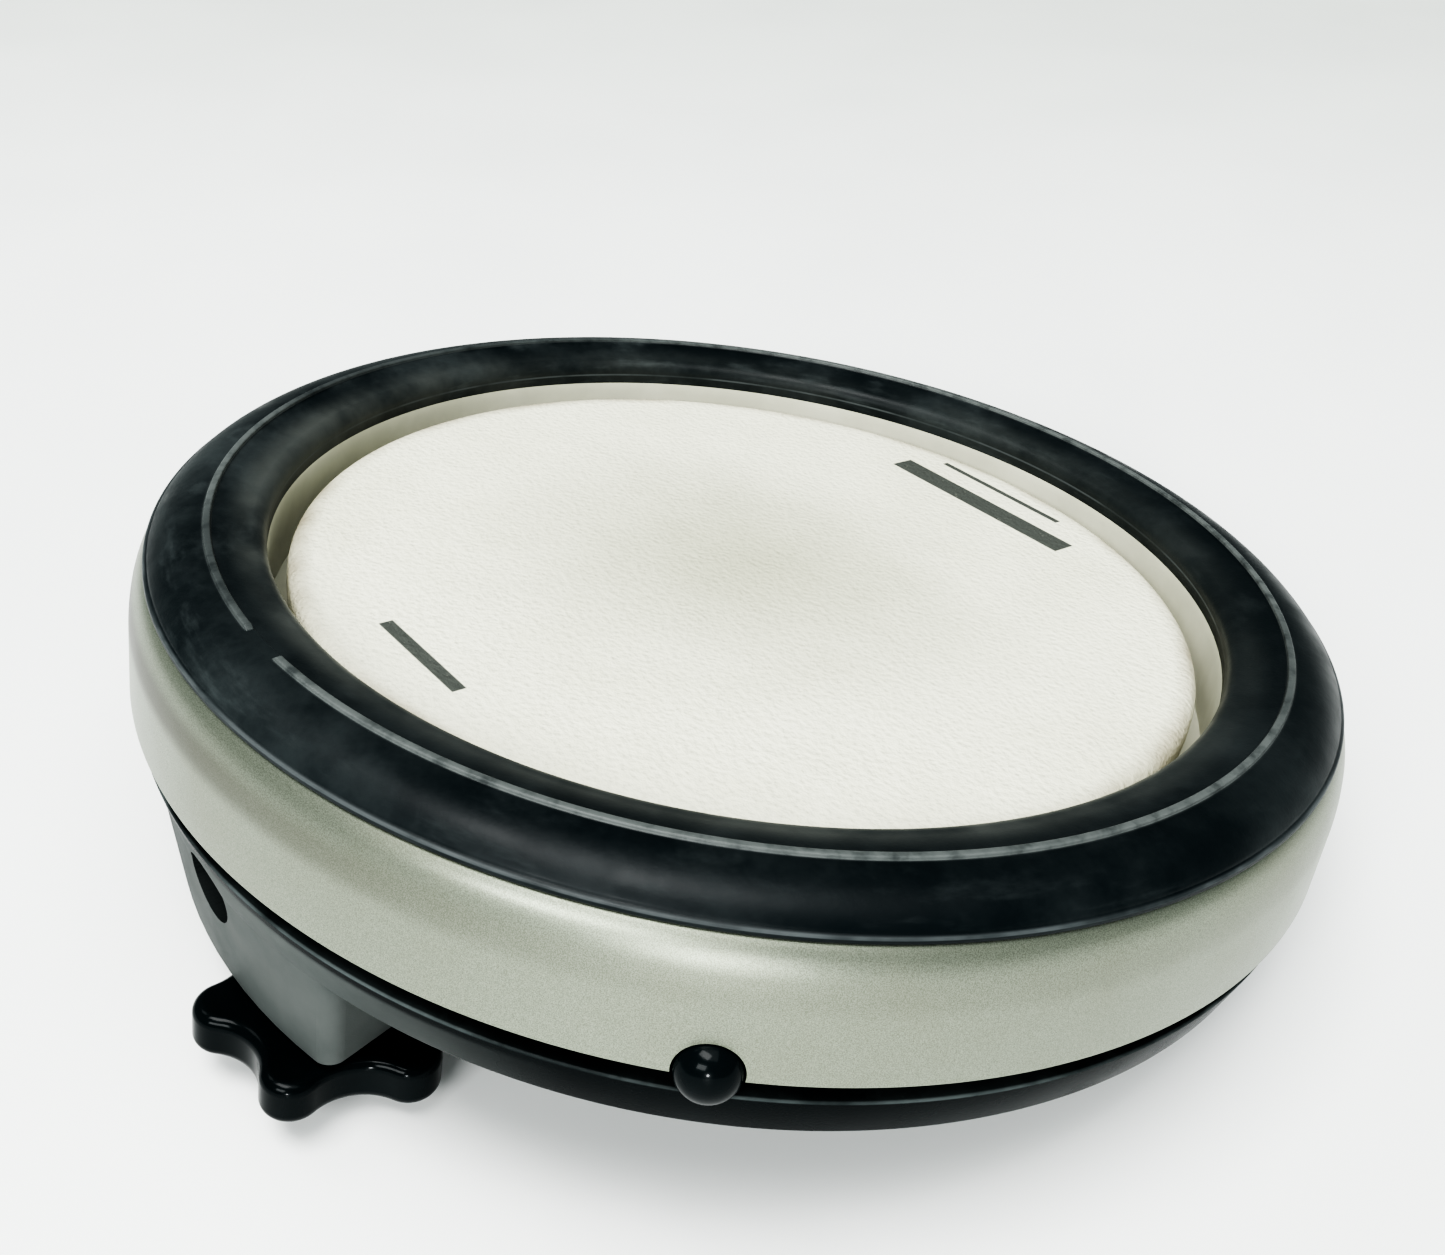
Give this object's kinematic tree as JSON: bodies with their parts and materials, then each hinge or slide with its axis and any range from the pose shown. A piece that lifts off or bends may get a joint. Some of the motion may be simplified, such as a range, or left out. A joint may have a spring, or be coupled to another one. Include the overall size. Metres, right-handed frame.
{
  "type": "electronic drum pad",
  "caption": "Round electronic drum pad: soft pebbled head in a rubber rim, flared case, side control, and a rod clamp with a star knob.",
  "frame": {"origin": "centre of the base tray's flat underside, on the case's axis", "axes": "+Z the way the playing head faces; -Y from the axis towards the rod clamp, so the player sits at +Y"},
  "size_m": [0.2548, 0.2548, 0.0817],
  "materials": {
    "head": "soft matte silicone with a fine pebbled surface",
    "rim_rubber": "semi-matte black rubber",
    "shell": "champagne-silver metallic paint, satin",
    "frame": "warm grey moulded plastic",
    "case_black": "black moulded plastic, fine satin grain",
    "knob_black": "polished black",
    "plate_steel": "zinc-plated sheet",
    "foam": "closed-cell foam",
    "sensor_brass": "plain brass disc",
    "switch_film": "printed polyester film",
    "screw_steel": "black zinc-plated",
    "clamp_cast": "bead-blasted casting",
    "bolt_steel": "bright zinc-plated thread",
    "jack_black": "black moulding",
    "nickel": "nickel plate",
    "board_green": "solder mask",
    "lead_grey": "soft PVC",
    "label_silver": "blank satin film"
  },
  "bodies": {
    "root": {"playing_head": "head", "head_plate": "plate_steel", "head_damper": "foam", "sensor_tape": "foam", "head_sensor": "sensor_brass", "rubber_rim": "rim_rubber", "inner_frame": "frame", "rim_switch_front": "switch_film", "rim_switch_back": "switch_film", "upper_shell": "shell", "base_tray": "case_black", "rating_label": "label_silver", "case_screws": "screw_steel", "frame_screws": "screw_steel", "clamp_screws": "screw_steel", "board_screws": "screw_steel", "clamp_body": "clamp_cast", "control_pot": "bolt_steel", "pot_bracket": "plate_steel", "pot_nut": "nickel", "output_jack": "jack_black", "jack_washer": "nickel", "jack_nut": "nickel", "circuit_board": "board_green", "sensor_lead": "lead_grey", "control_lead": "lead_grey", "jack_lead": "lead_grey"},
    "control": {"control_knob": "knob_black", "control_shaft": "bolt_steel"},
    "jaw": {"clamp_jaw": "clamp_cast"},
    "star": {"clamp_knob": "knob_black", "clamp_bolt": "bolt_steel"}
  },
  "joints": [
    {"name": "control_turn", "type": "hinge", "parent": "root", "child": "control", "pos_m": [0.09231, -0.08429, 0.015], "axis": [0.7385, -0.6743, 0], "range_deg": [-140, 140]},
    {"name": "jaw_slide", "type": "slide", "parent": "root", "child": "jaw", "axis": [0, 0, 1], "range_m": [0, 0.00125]},
    {"name": "star_turn", "type": "hinge", "parent": "jaw", "child": "star", "pos_m": [0.0116, -0.1016, -0.026], "axis": [0, 0, 1], "range_deg": [0, 361]}
  ],
  "couplings": [
    {"joint": "star_turn", "follows": "jaw_slide", "rad_per_m": 5026.5}
  ]
}
